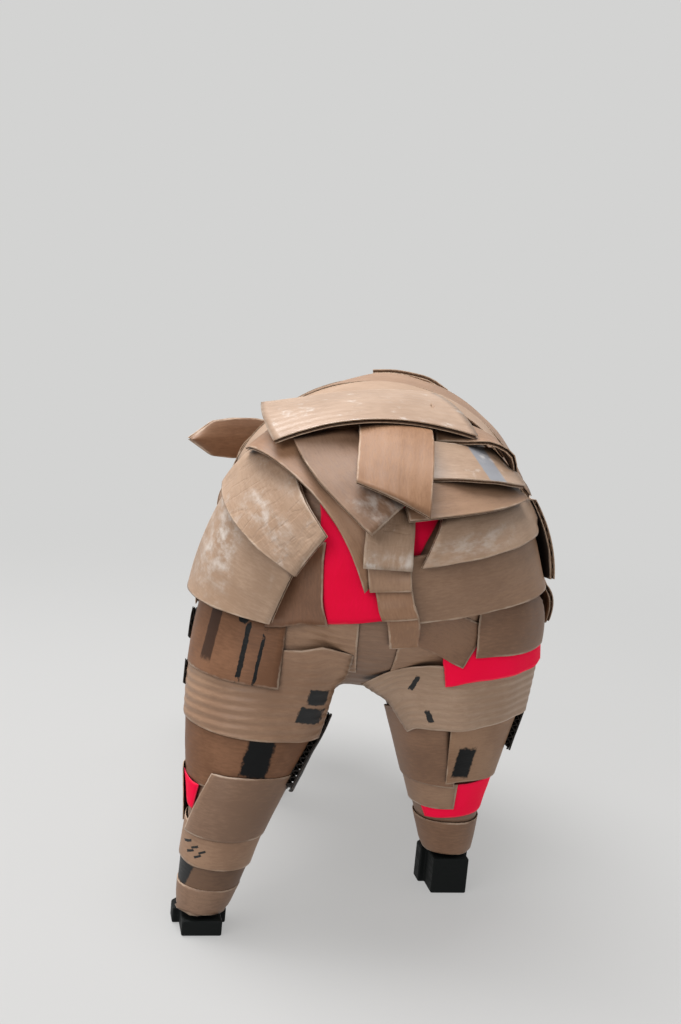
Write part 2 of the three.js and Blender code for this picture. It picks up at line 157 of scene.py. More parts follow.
def setBump(tree, shader, height, strength, distance):
    bump = addNode(tree, "ShaderNodeBump", {"Strength": strength, "Distance": distance, "Height": height})
    plug(tree, bump.outputs[0], shader.inputs["Normal"])


# finishes
kraftTones = {
    "pale": (tint(182, 152, 128), tint(164, 133, 108)),
    "tan": (tint(166, 131, 104), tint(146, 112, 87)),
    "warm": (tint(163, 123, 93), tint(142, 104, 76)),
    "brown": (tint(146, 109, 82), tint(124, 90, 66)),
    "drab": (tint(147, 115, 92), tint(126, 96, 75)),
    "russet": (tint(139, 99, 73), tint(118, 82, 59)),
    "umber": (tint(114, 84, 62), tint(95, 68, 49)),
    "char": (tint(44, 36, 31), tint(24, 20, 18)),
    "neon": (tint(255, 10, 68), tint(248, 4, 60)),
}
inks = {
    "black": tint(4, 5, 6), "brown": tint(46, 28, 20), "white": tint(228, 221, 214),
    # on the next line: tape grey, then the painted shade for gaps between sheets, then a pale for cut edges
    # that is wear and a painted highlight
    "tape": tint(138, 148, 160), "paintedGapShade": tint(34, 25, 20), "wornAndLitPale": tint(208, 184, 162),
}
# a higher scale is a finer noise, a span is where a pattern fades in, and a reach is in metres
paper = {
    "blotchScale": 34, "blotchShare": 0.9, "toneSpan": (0.54, 0.92),
    "fibreScale": 900, "fibreStretch": (0.22, 1, 1), "fibreShare": 0.55, "fibreBump": 0.25,
    "fleckScale": 1300, "fleckSpan": (0.6, 0.7), "fleckShare": 0.5,
    "valleySpan": (0.1, -1.0), "fluteBump": 1.2,
    "scuffAndSheenScale": 95, "scuffAndSheenSpan": (0.56, 0.74),
    "creaseScale": 60, "creaseStretch": (1.6, 0.7, 1), "creaseSpan": (0.0, 0.06),
    "gapSamples": 6, "gapReach": 0.005, "gapSpan": (0.35, 0.85), "gapDark": 0.8,
    "roughSpan": (0.2, 0.8), "roughDown": 0.06, "roughUp": 0.08,
    "bump": 0.6, "bumpDepth": 0.0006,
}
# the pale cut edges: rubbed wear and a painted highlight
edgeWearAndHighlight = {
    "reach": 0.0012, "soft": 0.0005, "frayScale": 240,
    "patchScale": 55, "patchSpan": (0.4, 0.62), "least": 0.1,
}
printing = {"ragScale": 420, "rubScale": 150, "rubStretch": (0.55, 1, 1), "rubSpan": (0.38, 0.7)}
markDefaults = {
    "ink": "black", "turn": 0.0, "soft": 0.12, "ragged": 0.15, "strength": 1.0,
    "oval": False, "rubbed": False,
}
kraftDefaults = {
    "tone": "tan", "pitch": 0.0065, "flutesRun": 1, "fluteShadeAndBump": 0.12, "wearAndHighlight": 0.65, "shine": 0.5, "rough": 0.5,
}


def spot(tree, points, mark):
    # a mark seen from behind, in millimetres across from the right hind hoof and up from the floor
    (x, z), (width, height) = mark["at"], mark["size"]
    place = addNode(tree, "ShaderNodeMapping", {
        "Vector": points, "Location": (boxMiddle("hoof_hind_right").x + x / 1000, 0, z / 1000),
        "Rotation": (0, math.radians(mark["turn"]), 0), "Scale": (width / 2000, 1, height / 2000)})
    place.vector_type = "TEXTURE"
    across, _, upward = parts(tree, place.outputs[0])
    rag = calc(tree, "SUBTRACT", grain(tree, points, printing["ragScale"], 4), 0.5)
    fuzz = calc(tree, "MULTIPLY", rag, mark["ragged"] * 2)
    if mark["oval"]:
        squares = calc(tree, "ADD", calc(tree, "POWER", across, 2), calc(tree, "POWER", upward, 2))
        reach = calc(tree, "SQRT", squares)
    else:
        reach = calc(tree, "MAXIMUM", calc(tree, "ABSOLUTE", across), calc(tree, "ABSOLUTE", upward))
    return between(tree, calc(tree, "ADD", reach, fuzz), 1 - mark["soft"], 1 + mark["soft"], 1.0, 0.0)


def wornAndLitEdge(tree, where):
    # cut edges are painted pale in a ragged, uneven line: partly rubbed wear, partly a painted highlight
    # where the edges catch the light
    rim = tree.nodes.new("ShaderNodeAttribute")
    rim.attribute_name = "rim"
    side, end, _ = parts(tree, rim.outputs["Vector"])
    fray = calc(tree, "MULTIPLY", grain(tree, where, edgeWearAndHighlight["frayScale"], 3), edgeWearAndHighlight["reach"])
    gap = calc(tree, "SUBTRACT", calc(tree, "MINIMUM", side, end), fray)
    line = between(tree, gap, -edgeWearAndHighlight["soft"] / 3, edgeWearAndHighlight["soft"], 1.0, 0.0)
    patch = grain(tree, where, edgeWearAndHighlight["patchScale"], 3)
    return calc(tree, "MULTIPLY", line, between(tree, patch, *edgeWearAndHighlight["patchSpan"], edgeWearAndHighlight["least"], 1.0))


def gapShade(tree):
    # painted shade where one sheet lies close over another: an occlusion test darkens the crevices and the
    # lines under strip edges
    gap = addNode(tree, "ShaderNodeAmbientOcclusion", {"Distance": paper["gapReach"]})
    gap.samples = paper["gapSamples"]
    return between(tree, gap.outputs["AO"], *paper["gapSpan"], paper["gapDark"], 0.0)


def paperColour(tree, look, where, sheet, fibre, wave):
    light, dark = kraftTones[look["tone"]]
    blotch = calc(tree, "MULTIPLY", grain(tree, where, paper["blotchScale"], 4), paper["blotchShare"])
    shade = calc(tree, "ADD", blotch, calc(tree, "MULTIPLY", fibre, paper["fibreShare"]))
    colour = blend(tree, between(tree, shade, *paper["toneSpan"]), dark, light)
    fleck = between(tree, grain(tree, where, paper["fleckScale"], 2), *paper["fleckSpan"])
    colour = layer(tree, paper["fleckShare"], fleck, colour, dark)
    # the flute valleys are painted darker: painted shade of the washboard ribs
    colour = layer(tree, look["fluteShadeAndBump"], between(tree, wave, *paper["valleySpan"]), colour, dark)
    if "darkEnd" in look:
        along = parts(tree, sheet)[0]
        near = between(tree, along, look["darkEnd"] / 2, look["darkEnd"], 1.0, 0.0)
        colour = blend(tree, near, colour, kraftTones["char"][0])
    for mark in look.get("marks", []):
        mark = {**markDefaults, **mark}
        mask = calc(tree, "MULTIPLY", spot(tree, where, mark), mark["strength"])
        if mark["rubbed"]:
            rub = grain(tree, sheet, printing["rubScale"], 4, 0.6, printing["rubStretch"])
            mask = calc(tree, "MULTIPLY", mask, between(tree, rub, *printing["rubSpan"]))
        colour = blend(tree, mask, colour, inks[mark["ink"]])
    # white scuffs: rubbing, and on the saddle and taped strip also a painted sheen
    if "scuffsAndSheen" in look:
        scuffAndSheenMask = between(tree, grain(tree, where, paper["scuffAndSheenScale"], 5, 0.65), *paper["scuffAndSheenSpan"])
        colour = layer(tree, look["scuffsAndSheen"], scuffAndSheenMask, colour, inks["white"])
    # pale cut edges, partly wear and partly a painted highlight
    if not look.get("solid"):
        colour = layer(tree, look["wearAndHighlight"], wornAndLitEdge(tree, where), colour, inks["wornAndLitPale"])
    # painted shade in the gaps between sheets goes over the whole colour
    return blend(tree, gapShade(tree), colour, inks["paintedGapShade"])


def kraftMaterial(name, look):
    # paper liner: fibres, blotches, the flutes showing through as bump and painted shade, and whatever is
    # printed or rubbed on it; its colour also carries painted shade and highlights
    look = {**kraftDefaults, **look}
    material, tree, shader = newMaterial(name)
    where = tree.nodes.new("ShaderNodeTexCoord").outputs["Object"]
    sheet = where
    if not look.get("solid"):
        lines = tree.nodes.new("ShaderNodeUVMap")
        lines.uv_map = "UVMap"
        sheet = lines.outputs[0]
    fibre = grain(tree, sheet, paper["fibreScale"], 3, 0.6, paper["fibreStretch"])
    place = parts(tree, sheet)[look["flutesRun"]]
    wave = calc(tree, "SINE", calc(tree, "MULTIPLY", place, 2 * math.pi / look["pitch"]))
    plug(tree, paperColour(tree, look, where, sheet, fibre, wave), shader.inputs["Base Color"])
    rough = between(tree, fibre, *paper["roughSpan"],
                    look["rough"] - paper["roughDown"], look["rough"] + paper["roughUp"])
    plug(tree, rough, shader.inputs["Roughness"])
    shader.inputs["Specular IOR Level"].default_value = look["shine"]
    # emission: painted light that makes the card brighter than the lamps alone
    if "glow" in look:
        shader.inputs["Emission Color"].default_value = kraftTones[look["tone"]][0]
        shader.inputs["Emission Strength"].default_value = look["glow"]
    height = calc(tree, "ADD", calc(tree, "MULTIPLY", fibre, paper["fibreBump"]),
                  calc(tree, "MULTIPLY", wave, look["fluteShadeAndBump"] * paper["fluteBump"]))
    if "wrinkles" in look:
        crease = grain(tree, sheet, paper["creaseScale"], 3, 0.5, paper["creaseStretch"])
        ridge = calc(tree, "ABSOLUTE", calc(tree, "SUBTRACT", crease, 0.5))
        fold = calc(tree, "MULTIPLY", between(tree, ridge, *paper["creaseSpan"]), look["wrinkles"])
        height = calc(tree, "ADD", height, fold)
    setBump(tree, shader, height, paper["bump"], paper["bumpDepth"])
    return material


plainLook = {"scale": 700, "span": (0.3, 0.7), "rough": 0.85, "bump": 0.4, "bumpDepth": 0.0003}


def plainPaper(name, light, dark):
    material, tree, shader = newMaterial(name)
    where = tree.nodes.new("ShaderNodeTexCoord").outputs["Object"]
    fibre = grain(tree, where, plainLook["scale"], 4)
    colour = blend(tree, between(tree, fibre, *plainLook["span"]), dark, light)
    plug(tree, colour, shader.inputs["Base Color"])
    shader.inputs["Roughness"].default_value = plainLook["rough"]
    setBump(tree, shader, fibre, plainLook["bump"], plainLook["bumpDepth"])
    return material


cutEdge = plainPaper("cutEdge", tint(212, 186, 162), tint(176, 146, 120))
fluteEdge = plainPaper("fluteEdge", tint(128, 98, 74), tint(92, 67, 50))
charEdge = plainPaper("charEdge", *kraftTones["char"])
redEdge = plainPaper("redEdge", tint(250, 60, 100), tint(225, 30, 70))
print("finishes ready")


# points closer than this count as one
weldGap = 1e-6


# node trees for the sheets: each reads a grid of the sheet's middle, with the lift from its back to its face
def openTree(name, numbers, materials):
    tree = bpy.data.node_groups.new(name, "GeometryNodeTree")
    tree.is_modifier = True
    tree.interface.new_socket("Geometry", in_out="INPUT", socket_type="NodeSocketGeometry")
    for label, value in numbers.items():
        number = tree.interface.new_socket(label, in_out="INPUT", socket_type="NodeSocketFloat")
        number.default_value = value
    for label in materials:
        tree.interface.new_socket(label, in_out="INPUT", socket_type="NodeSocketMaterial")
    tree.interface.new_socket("Geometry", in_out="OUTPUT", socket_type="NodeSocketGeometry")
    start = tree.nodes.new("NodeGroupInput")
    lift = addNode(tree, "GeometryNodeInputNamedAttribute", {"Name": "lift"})
    lift.data_type = "FLOAT_VECTOR"
    return tree, start, lift.outputs[0]


def scaled(tree, vector, amount):
    node = tree.nodes.new("ShaderNodeVectorMath")
    node.operation = "SCALE"
    plug(tree, vector, node.inputs[0])
    plug(tree, amount, node.inputs["Scale"])
    return node.outputs[0]


def joined(tree, sheets):
    both = tree.nodes.new("GeometryNodeJoinGeometry")
    for sheet in sheets:
        plug(tree, sheet, both.inputs[0])
    return both.outputs[0]


def slab(tree, sheet, lift, low, depth, face, edge):
    # a sheet set off its middle and given a thickness, closed all round
    offset = scaled(tree, lift, low)
    under = addNode(tree, "GeometryNodeSetPosition", {"Geometry": sheet, "Offset": offset}).outputs[0]
    grow = addNode(tree, "GeometryNodeExtrudeMesh", {
        "Mesh": under, "Offset": scaled(tree, lift, depth), "Offset Scale": 1.0, "Individual": False})
    side = grow.outputs["Side"]
    back = addNode(tree, "GeometryNodeFlipFaces", {"Mesh": under}).outputs[0]
    both = joined(tree, (grow.outputs["Mesh"], back))
    weld = addNode(tree, "GeometryNodeMergeByDistance", {"Geometry": both, "Distance": weldGap}).outputs[0]
    paint = addNode(tree, "GeometryNodeSetMaterial", {"Geometry": weld, "Material": face}).outputs[0]
    rim = addNode(tree, "GeometryNodeSetMaterial", {"Geometry": paint, "Selection": side, "Material": edge})
    return addNode(tree, "GeometryNodeSetShadeSmooth", {
        "Geometry": rim.outputs[0], "Selection": side, "Shade Smooth": False}).outputs[0]


def closeTree(tree, sheets):
    real = addNode(tree, "GeometryNodeRealizeInstances", {"Geometry": joined(tree, sheets)})
    end = tree.nodes.new("NodeGroupOutput")
    plug(tree, real.outputs[0], end.inputs[0])
    return tree


def flutePhase(tree, start):
    place = addNode(tree, "GeometryNodeInputNamedAttribute", {"Name": "wave"})
    place.data_type = "FLOAT"
    turns = calc(tree, "DIVIDE", place.outputs[0], start.outputs["Pitch"])
    return calc(tree, "SINE", calc(tree, "MULTIPLY", turns, 2 * math.pi))


def boardTree():
    # corrugated board: two liners and a fluted sheet between them
    tree, start, lift = openTree("corrugatedBoard", {"Pitch": 0.0065, "Liner": 0.19, "Medium": 0.1},
                                 ("Face", "Edge", "Flute"))
    liner, medium = start.outputs["Liner"], start.outputs["Medium"]
    sheet = start.outputs["Geometry"]
    outer = slab(tree, sheet, lift, calc(tree, "SUBTRACT", 0.5, liner), liner,
                 start.outputs["Face"], start.outputs["Edge"])
    inner = slab(tree, sheet, lift, -0.5, liner, start.outputs["Face"], start.outputs["Edge"])
    room = calc(tree, "SUBTRACT", calc(tree, "SUBTRACT", 0.5, liner), calc(tree, "MULTIPLY", medium, 0.5))
    swing = calc(tree, "MULTIPLY", flutePhase(tree, start), room)
    low = calc(tree, "SUBTRACT", swing, calc(tree, "MULTIPLY", medium, 0.5))
    fluted = slab(tree, sheet, lift, low, medium, start.outputs["Flute"], start.outputs["Flute"])
    return closeTree(tree, (outer, inner, fluted))


def cardTree():
    # thin card: one sheet, ribbed where the board's flutes show on it
    tree, start, lift = openTree("thinCard", {"Pitch": 0.0065, "Ribs": 0.0}, ("Face", "Edge"))
    swing = calc(tree, "MULTIPLY", flutePhase(tree, start), start.outputs["Ribs"])
    low = calc(tree, "SUBTRACT", swing, 0.5)
    return closeTree(tree, (slab(tree, start.outputs["Geometry"], lift, low, 1.0,
                                 start.outputs["Face"], start.outputs["Edge"]),))


sheetTrees = {"board": boardTree(), "card": cardTree()}


def runTree(piece, tree, values):
    modifier = piece.modifiers.new("sheet", "NODES")
    modifier.node_group = tree
    for socket in tree.interface.items_tree:
        if socket.in_out == "INPUT" and socket.name in values:
            modifier[socket.identifier] = values[socket.name]
    bakeModifiers(piece)
    for helper in ("lift", "wave"):
        if helper in piece.data.attributes:
            piece.data.attributes.remove(piece.data.attributes[helper])


def bakeModifiers(piece):
    bpy.context.view_layer.update()
    view = bpy.context.evaluated_depsgraph_get()
    shown = piece.evaluated_get(view)
    mesh = bpy.data.meshes.new_from_object(shown, preserve_all_data_layers=True, depsgraph=view)
    piece.modifiers.clear()
    old, piece.data = piece.data, mesh
    mesh.name = piece.name
    bpy.data.meshes.remove(old)


def newPiece(name, mesh):
    piece = bpy.data.objects.new(name, mesh)
    bpy.context.scene.collection.objects.link(piece)
    return piece


def keepPiece(piece, slotName, *nodes):
    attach(piece, "root")
    if nodes:
        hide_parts(*nodes)


def finishSheet(piece, kind, name, look):
    runTree(piece, sheetTrees[kind], {
        "Pitch": look["pitch"], "Ribs": look.get("ribs", 0.0), "Face": kraftMaterial(name, look),
        "Edge": look.get("edge", cutEdge), "Flute": look.get("flute", fluteEdge)})


print("sheet trees ready")


# the form under the strips
def solidCopy(node):
    bm = bmesh.new()
    bm.from_mesh(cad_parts[node].data)
    bmesh.ops.remove_doubles(bm, verts=bm.verts, dist=weldGap)
    return bm


def toMesh(bm, name):
    mesh = bpy.data.meshes.new(name)
    bm.to_mesh(mesh)
    bm.free()
    return mesh


bodyLook = {
    "voxel": 0.0035, "smoothing": 14, "softness": 0.5,
    "tone": "drab", "solid": True, "flutesRun": 2, "pitch": 0.0045, "fluteShadeAndBump": 0.3,
}


def makeBody():
    piece = newPiece("body_form", toMesh(solidCopy("body"), "body_form"))
    remesh = piece.modifiers.new("even", "REMESH")
    remesh.mode = "VOXEL"
    remesh.voxel_size = bodyLook["voxel"]
    remesh.use_smooth_shade = True
    smooth = piece.modifiers.new("soften", "SMOOTH")
    smooth.factor = bodyLook["softness"]
    smooth.iterations = bodyLook["smoothing"]
    bakeModifiers(piece)
    piece.data.materials.clear()
    piece.data.materials.append(kraftMaterial("underBoard", bodyLook))
    keepPiece(piece, "under_board", "body")
    return piece.data


bodyMesh = makeBody()
bodyTree = BVHTree.FromPolygons([v.co for v in bodyMesh.vertices], [p.vertices for p in bodyMesh.polygons])
print("body form,", len(bodyMesh.polygons), "faces")


def heightOver(face):
    return sum(bodyTree.find_nearest(Vector(point))[3] for point in face.reshape(-1, 3))


# a strip's plate is read back as stations along it, each with three points below and three above
def readStations(node):
    bm = solidCopy(node)
    near = {v: {e.other_vert(v) for e in v.link_edges} for v in bm.verts}
    ends = [v for v in bm.verts if len(near[v]) < 6]
    middles = [v for v in bm.verts if len(near[v]) == 6 and len(near[v].intersection(ends)) > 2]
    cap = [ends[0]]
    for v in cap:
        cap += [w for w in ends + middles if w in near[v] and w not in cap]
    ring = []
    for v in cap:
        if len(near[v]) == 4:
            ring += [w for w in cap if w in near[v] and w in middles] + [v]
            ring += [w for w in cap if w in near[v] and w not in middles]
    rings, seen = [ring], set(ring)
    while len(seen) < len(bm.verts):
        last = rings[-1]
        ahead = {w for v in last for w in near[v]} - seen
        choices = []
        for shift in (1, -1):
            ring = [(near[v] & near[last[(k + shift) % 6]] & ahead).pop() for k, v in enumerate(last)]
            choices.append((sum((a.co - b.co).length for a, b in zip(last, ring)), ring))
        rings.append(min(choices, key=lambda choice: choice[0])[1])
        seen |= ahead
    points = np.array([[v.co[:] for v in ring] for ring in rings])
    bm.free()
    lower, upper = points[:, [1, 0, 5]], points[:, [2, 3, 4]]
    if heightOver(lower) > heightOver(upper):
        lower, upper = upper, lower
    run = lower[-1].mean(0) - lower[0].mean(0)
    if (run[2] > 0) if abs(run[2]) > abs(run[0]) else (run[0] < 0):
        lower, upper = lower[::-1], upper[::-1]
    step = lower[1, 1] - lower[0, 1]
    if np.dot(np.cross(step, lower[0, 2] - lower[0, 0]), upper[0, 1] - lower[0, 1]) < 0:
        lower, upper = lower[:, ::-1], upper[:, ::-1]
    return lower, upper


def smoothLine(points, knots, places):
    # a smooth curve through the points, which runs on straight before the first one
    slopes = np.gradient(points, knots, axis=0)
    inside = np.clip(places, 0, knots[-1])
    k = np.clip(np.searchsorted(knots, inside) - 1, 0, len(knots) - 2)
    step = (knots[k + 1] - knots[k])[:, None]
    t = (inside - knots[k])[:, None] / step
    start = (2 * t**3 - 3 * t**2 + 1) * points[k] + (t**3 - 2 * t**2 + t) * step * slopes[k]
    end = (3 * t**2 - 2 * t**3) * points[k + 1] + (t**3 - t**2) * step * slopes[k + 1]
    return slopes[0] * np.minimum(places, 0)[:, None] + start + end


def spanFace(face, knots, places, side):
    # each station's three points make a parabola across the strip
    weights = np.stack(((1 - side) * (1 - 2 * side), 4 * side * (1 - side), side * (2 * side - 1)))
    lines = np.stack([smoothLine(face[:, k], knots, places) for k in range(3)])
    return np.einsum("krx,kc->rcx", lines, weights)


def eased(face, degree):
    part = np.linspace(-1, 1, len(face))
    fit = np.polynomial.polynomial.polyfit(part, face.reshape(len(part), -1), degree)
    return np.polynomial.polynomial.polyval(part, fit).T.reshape(face.shape)


def unit(vectors):
    return vectors / np.linalg.norm(vectors, axis=-1, keepdims=True)


def runningLength(points):
    steps = np.linalg.norm(np.diff(points, axis=-2), axis=-1)
    return np.concatenate([np.zeros((*steps.shape[:-1], 1)), np.cumsum(steps, axis=-1)], axis=-1)


def edgeGaps(flat):
    # how far each point lies from the sheet's sides and from its ends
    along, across = flat[..., 0], flat[..., 1]
    sides = np.minimum(np.abs(across - across[:, :1]), np.abs(across - across[:, -1:]))
    ends = np.minimum(np.abs(along - along[:1]), np.abs(along - along[-1:]))
    return np.stack((sides, ends, np.zeros_like(sides)), -1)


def storePoints(mesh, name, kind, values):
    field = "value" if kind == "FLOAT" else "vector"
    mesh.attributes.new(name, kind, "POINT").data.foreach_set(field, values.astype(np.float32).ravel())


def gridMesh(name, grids):
    # grids hold middle points, lifts, sheet coordinates and the wave's own coordinate
    faces, start = [], 0
    for middle, _, _, _ in grids:
        rows, columns = middle.shape[:2]
        for row in range(rows - 1):
            for column in range(columns - 1):
                first = start + row * columns + column
                faces.append((first, first + columns, first + columns + 1, first + 1))
        start += rows * columns
    points, lifts, flat = (np.concatenate([grid[k].reshape(-1, grid[k].shape[-1]) for grid in grids])
                           for k in range(3))
    mesh = bpy.data.meshes.new(name)
    mesh.from_pydata(points.tolist(), [], faces)
    uv = mesh.uv_layers.new(name="UVMap")
    corners = np.zeros(len(mesh.loops), np.int32)
    mesh.loops.foreach_get("vertex_index", corners)
    uv.data.foreach_set("uv", flat[corners].astype(np.float32).ravel())
    storePoints(mesh, "lift", "FLOAT_VECTOR", lifts)
    rims = [edgeGaps(grid[2]).reshape(-1, 3) for grid in grids]
    storePoints(mesh, "rim", "FLOAT_VECTOR", np.concatenate(rims))
    storePoints(mesh, "wave", "FLOAT", np.concatenate([grid[3].reshape(-1) for grid in grids]))
    mesh.polygons.foreach_set("use_smooth", np.ones(len(mesh.polygons), bool))
    return mesh


def coverMesh():
    # every strip's plate, to find which edges lie open
    points, faces, owners = [], [], []
    for node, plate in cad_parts.items():
        if node != "body":
            start = len(points)
            points += [v.co.copy() for v in plate.data.vertices]
            faces += [[start + k for k in face.vertices] for face in plate.data.polygons]
            owners += [node] * len(plate.data.polygons)
    return BVHTree.FromPolygons(points, faces), owners


coverTree, coverOwners = coverMesh()
openTest = {"layers": 4, "reach": 0.009, "nudge": 1e-5, "above": 0.55, "spread": 2}


def isOpen(node, point, away):
    start = Vector(point)
    for _ in range(openTest["layers"]):
        hit, _, face, _ = coverTree.ray_cast(start, away, openTest["reach"])
        if hit is None:
            return 1.0
        if coverOwners[face] != node:
            return 0.0
        start = hit + away * openTest["nudge"]
    return 1.0


def nearby(summary, values):
    reach = openTest["spread"]
    wide = np.pad(values, reach, mode="edge")
    return summary([wide[k:k + len(values)] for k in range(2 * reach + 1)], axis=0)


def openness(node, line, lifts):
    # along one edge: 1 where nothing covers it, fading to 0 under a neighbour
    free = [isOpen(node, point + lift * openTest["above"], Vector(lift).normalized())
            for point, lift in zip(line, lifts)]
    return nearby(np.mean, nearby(np.min, np.array(free)))


def standOff(node, middle, lift, flat, look):
    # glued down the middle, a stiff board stands off a little along its open edges
    rise = np.zeros(middle.shape[:2])
    for axis, edge in ((1, 0), (1, -1), (0, 0), (0, -1)):
        free = openness(node, middle.take(edge, axis), lift.take(edge, axis))
        gap = np.abs(flat[..., axis] - np.expand_dims(flat[..., axis].take(edge, axis), axis))
        near = np.clip(1 - gap / look["curlReach"], 0, 1) ** 2
        rise = np.maximum(rise, np.expand_dims(free, axis) * near)
    return middle + unit(lift) * (rise * look["curl"])[..., None]


def pressDown(middle, look):
    # thin card is rubbed down close to the form below it
    for index in np.ndindex(middle.shape[:2]):
        here = Vector(middle[index])
        seat, facing, _, _ = bodyTree.find_nearest(here)
        height = (here - seat).dot(facing)
        middle[index] = here + facing * ((height - look["seat"]) * (look["press"] - 1))
    return middle


def wanderEdges(middle, places, node, look):
    # hand-cut edges wander a little
    seed = sum(map(ord, node)) % 97
    across = unit(middle[:, -1] - middle[:, 0])
    for column, sign in ((0, -1), (-1, 1)):
        for row, place in enumerate(places):
            drift = noise.noise(Vector((place * look["wanderScale"], seed, sign))) * look["wander"]
            middle[row, column] += across[row] * drift


def stripGrid(node, look):
    lower, upper = readStations(node)
    if look.get("ease"):
        lower, upper = eased(lower, look["ease"]), eased(upper, look["ease"])
    knots = runningLength((lower[:, 1] + upper[:, 1]) / 2)
    width = np.linalg.norm(np.diff(upper, axis=1), axis=2).sum(1).max()
    steps = [look["step"], look["step"]]
    steps[look["flutesRun"]] = look["pitch"] / look["perFlute"]
    rows = max(look["leastRows"], math.ceil(knots[-1] / steps[0]))
    columns = max(look["leastColumns"], math.ceil(width / steps[1]))
    places = np.linspace(-look.get("startOut", 0), knots[-1], rows + 1)
    side = np.linspace(0, 1 + look.get("grow", 0), columns + 1)
    below, above = (spanFace(face, knots, places, side) for face in (lower, upper))
    middle, lift = (below + above) / 2, above - below
    middle = middle + unit(lift) * (look.get("tip", 0) * side**2)[:, None]
    spread = runningLength(middle)
    flat = np.stack((np.broadcast_to(places[:, None], spread.shape), spread - spread[:, -1:] / 2), -1)
    wanderEdges(middle, places, node, look)
    if look.get("press"):
        middle, lift = pressDown(middle, look), lift * look.get("thin", look["press"])
    if look.get("curl"):
        middle = standOff(node, middle, lift, flat, look)
    return middle, lift, flat, flat[..., look["flutesRun"]]


sheetDefaults = {
    "pitch": 0.0065, "perFlute": 8, "step": 0.004, "leastRows": 8, "leastColumns": 6, "flutesRun": 1,
    "wander": 0.0004, "wanderScale": 90,
}
boardDefaults = {**sheetDefaults, "fluteShadeAndBump": 0.14, "curl": 0.0014, "curlReach": 0.013}
cardDefaults = {**sheetDefaults, "perFlute": 4, "fluteShadeAndBump": 0.05, "press": 0.5, "seat": 0.0008}


def layStrip(name, kind, look, slotName):
    piece = newPiece(name + "_" + kind, gridMesh(name, [stripGrid(name, look)]))
    finishSheet(piece, kind, name, look)
    keepPiece(piece, slotName, name)


# boards on the back and rump, with the places where they are rubbed white; on the saddle and the taped strip
# the white scuffs are also a painted sheen
rub = {"ink": "white", "soft": 0.7, "ragged": 0.6, "rubbed": True}
rumpBoards = {
    # its white scuffs are partly a painted sheen
    "saddle_strip": {
        "tone": "pale", "fluteShadeAndBump": 0.16, "ease": 3, "grow": 0.5, "tip": 0.002, "curl": 0.0008,
        "rough": 0.38, "shine": 0.9, "scuffsAndSheen": 0.65},
    "tail_head_patch": {"tone": "warm", "fluteShadeAndBump": 0.1, "ease": 3, "shine": 0.3},
    "tail_head_diagonal_strip": {"tone": "drab", "fluteShadeAndBump": 0.08, "ease": 3, "shine": 0.3, "marks": [
        {**rub, "at": (-51.4, 224), "size": (26, 18), "turn": 30, "soft": 0.5, "ragged": 0.5,
         "strength": 0.55}]},
    "rump_left_diagonal_strip": {"tone": "warm", "fluteShadeAndBump": 0.1, "ease": 4},
    "rump_left_scuffed_strip": {
        "tone": "pale", "fluteShadeAndBump": 0.1, "ease": 3, "scuffsAndSheen": 0.3, "wrinkles": 0.5, "marks": [
            {**rub, "at": (-110, 209), "size": (22, 9), "turn": 32, "strength": 0.6},
            {**rub, "at": (-86, 221), "size": (26, 9), "turn": 24, "strength": 0.5}]},
    "rump_left_lower_strip": {"tone": "pale", "fluteShadeAndBump": 0.08, "ease": 3, "scuffsAndSheen": 0.12, "marks": [
        {**rub, "at": (-131, 198), "size": (16, 46), "turn": 14, "ragged": 0.5, "strength": 0.7}]},
    # its white scuffs are partly a painted sheen
    "rump_right_taped_strip": {
        "tone": "pale", "fluteShadeAndBump": 0.1, "ease": 2, "rough": 0.42, "shine": 0.8, "scuffsAndSheen": 0.5, "marks": [
            {"ink": "tape", "at": (-4, 242), "size": (6, 40), "turn": -40, "soft": 0.1,
             "ragged": 0.08, "strength": 0.8}]},
    "rump_right_upper_strip": {"tone": "tan", "fluteShadeAndBump": 0.1, "ease": 3},
    "rump_right_middle_strip": {"tone": "pale", "fluteShadeAndBump": 0.12, "ease": 3, "marks": [
        {**rub, "at": (-10, 206), "size": (34, 8), "turn": -14, "strength": 0.45}]},
    "rump_right_lower_strip": {"tone": "tan", "fluteShadeAndBump": 0.1, "ease": 3},
    "shoulder_right_back_strip": {"tone": "tan", "fluteShadeAndBump": 0.12, "startOut": 0.014},
    "back_hoop_rear": {"tone": "pale", "curl": 0.0005},
    "back_hoop_middle": {"tone": "tan", "curl": 0.0005},
    "back_hoop_front": {"tone": "pale", "curl": 0.0005},
    "withers_strip": {"tone": "tan"},
    "flank_left_low_strip": {"tone": "tan", "darkEnd": 0.02},
    "flank_right_low_strip": {"tone": "warm", "darkEnd": 0.02},
    "flank_right_high_strip": {"tone": "tan", "darkEnd": 0.03},
    "belly_strip": {"tone": "brown"},
    "shoulder_left_strip": {"tone": "tan"},
    "shoulder_right_strip": {"tone": "warm"},
    "neck_hoop": {"tone": "tan"},
    "forehead_strip": {"tone": "pale"},
}
for name, look in rumpBoards.items():
    layStrip(name, "board", {**boardDefaults, **look}, "kraft_board")

# two dark pieces that stand edge-on
edgeStrips = {
    "tone": "char", "fluteShadeAndBump": 0.12, "wearAndHighlight": 0.2, "edge": charEdge, "flute": charEdge,
    "flutesRun": 0, "pitch": 0.0036, "press": 0.25, "seat": 0.003, "thin": 2.0, "curl": 0,
}
for name in ("knee_left_edge_strip", "thigh_right_edge_strip"):
    layStrip(name, "board", {**boardDefaults, **edgeStrips}, "edge_board")
print("boards laid")

